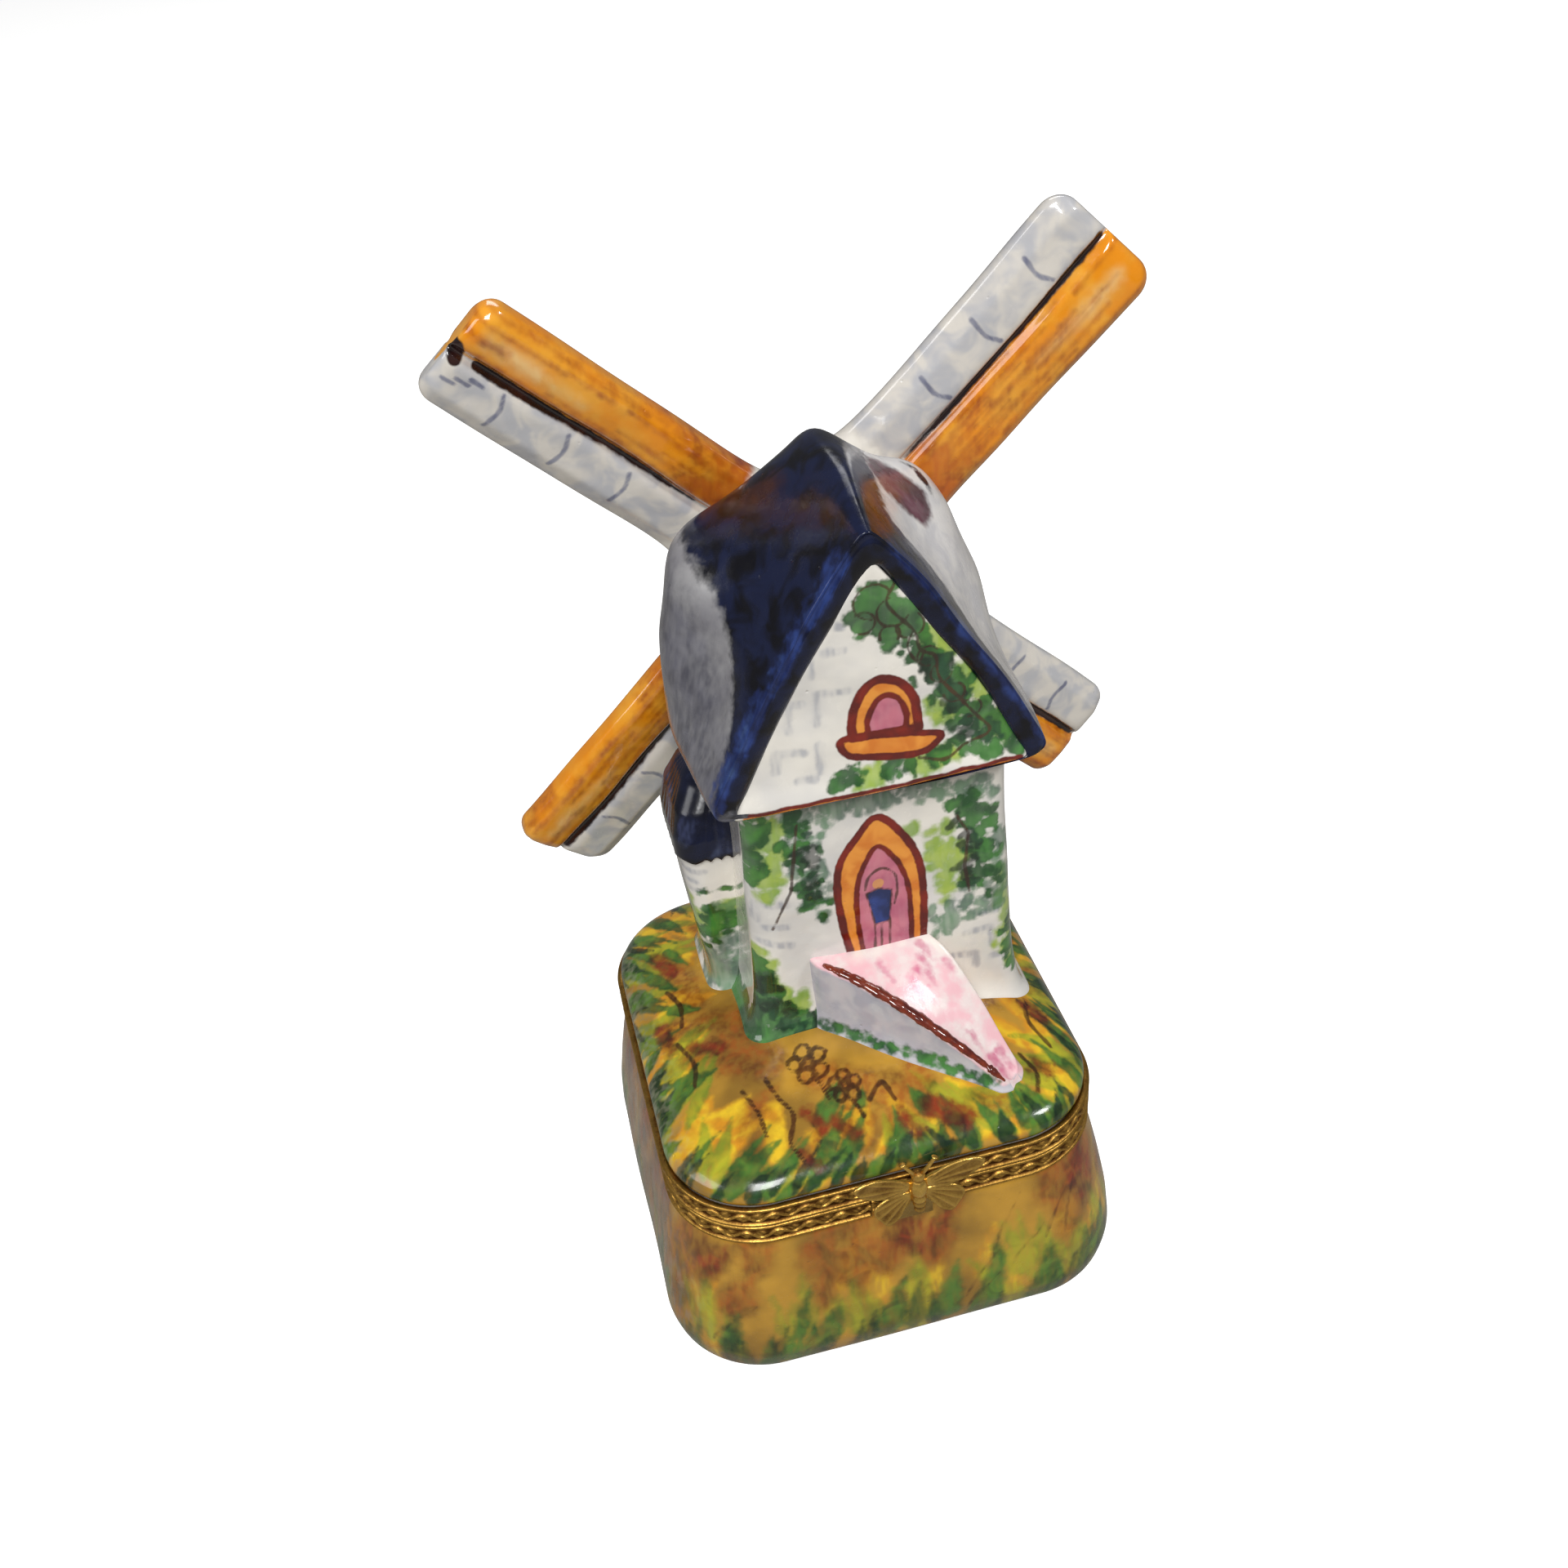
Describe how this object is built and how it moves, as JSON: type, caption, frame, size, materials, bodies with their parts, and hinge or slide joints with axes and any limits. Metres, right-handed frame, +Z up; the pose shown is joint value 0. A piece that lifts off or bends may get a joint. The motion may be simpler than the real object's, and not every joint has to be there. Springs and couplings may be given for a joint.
{
  "type": "hinged porcelain trinket box",
  "caption": "Small square porcelain box with brass collars, a back hinge and a butterfly clasp; its domed lid carries a painted windmill with fixed sails.",
  "frame": {"origin": "centre of the box's flat foot, on the surface it stands on", "axes": "+Z up; -Y is the front, with the door, the window and the clasp; +Y is the back, with the hinge and the sails; +X is the viewer's right from the front"},
  "size_m": [0.0715, 0.0532, 0.1084],
  "materials": {
    "meadow_glaze": "glossy hand-painted glaze: grass in ochre, olive and green",
    "white_glaze": "glossy white glaze with painted stones, ivy, door and window",
    "navy_glaze": "glossy navy and cobalt glaze, brushed",
    "ochre_glaze": "glossy ochre glaze with brown streaks",
    "lilac_glaze": "glossy lilac-white glaze with blue-grey rungs",
    "pink_glaze": "glossy pink glaze with magenta strokes",
    "rust_glaze": "glossy brown-red enamel line",
    "collar_brass": "antiqued brass, embossed",
    "hinge_brass": "plain brass, satin",
    "clasp_brass": "cast brass, polished on its high parts"
  },
  "bodies": {
    "box": {"base_box": "meadow_glaze", "lower_collar": "collar_brass", "hinge_leaf_lower": "hinge_brass", "hinge_pin": "hinge_brass", "catch_bead": "clasp_brass"},
    "lid": {"lid_mound": "meadow_glaze", "tower_body": "white_glaze", "side_annex": "white_glaze", "annex_roof": "navy_glaze", "cap_roof": "navy_glaze", "front_gable": "white_glaze", "ramp": "pink_glaze", "ramp_rail": "rust_glaze", "sail_hub": "white_glaze", "upper_collar": "collar_brass", "hinge_leaf_upper": "hinge_brass", "sail_spar_1": "ochre_glaze", "sail_lattice_1": "lilac_glaze", "sail_spar_2": "ochre_glaze", "sail_lattice_2": "lilac_glaze", "sail_spar_3": "ochre_glaze", "sail_lattice_3": "lilac_glaze", "sail_spar_4": "ochre_glaze", "sail_lattice_4": "lilac_glaze"},
    "clasp": {"clasp_tongue": "clasp_brass", "butterfly_body": "clasp_brass", "butterfly_wing_upper_left": "clasp_brass", "butterfly_wing_lower_left": "clasp_brass", "butterfly_antenna_left": "clasp_brass", "butterfly_wing_upper_right": "clasp_brass", "butterfly_wing_lower_right": "clasp_brass", "butterfly_antenna_right": "clasp_brass"}
  },
  "joints": [
    {"name": "lid_hinge", "type": "hinge", "parent": "box", "child": "lid", "pos_m": [0, 0.0253, 0.0232], "axis": [-1, 0, 0], "range_deg": [0, 95]},
    {"name": "clasp_flex", "type": "hinge", "parent": "lid", "child": "clasp", "pos_m": [0, -0.0246, 0.0252], "axis": [-1, 0, 0], "range_deg": [0, 5], "stiffness_Nm_per_rad": 0.06}
  ]
}
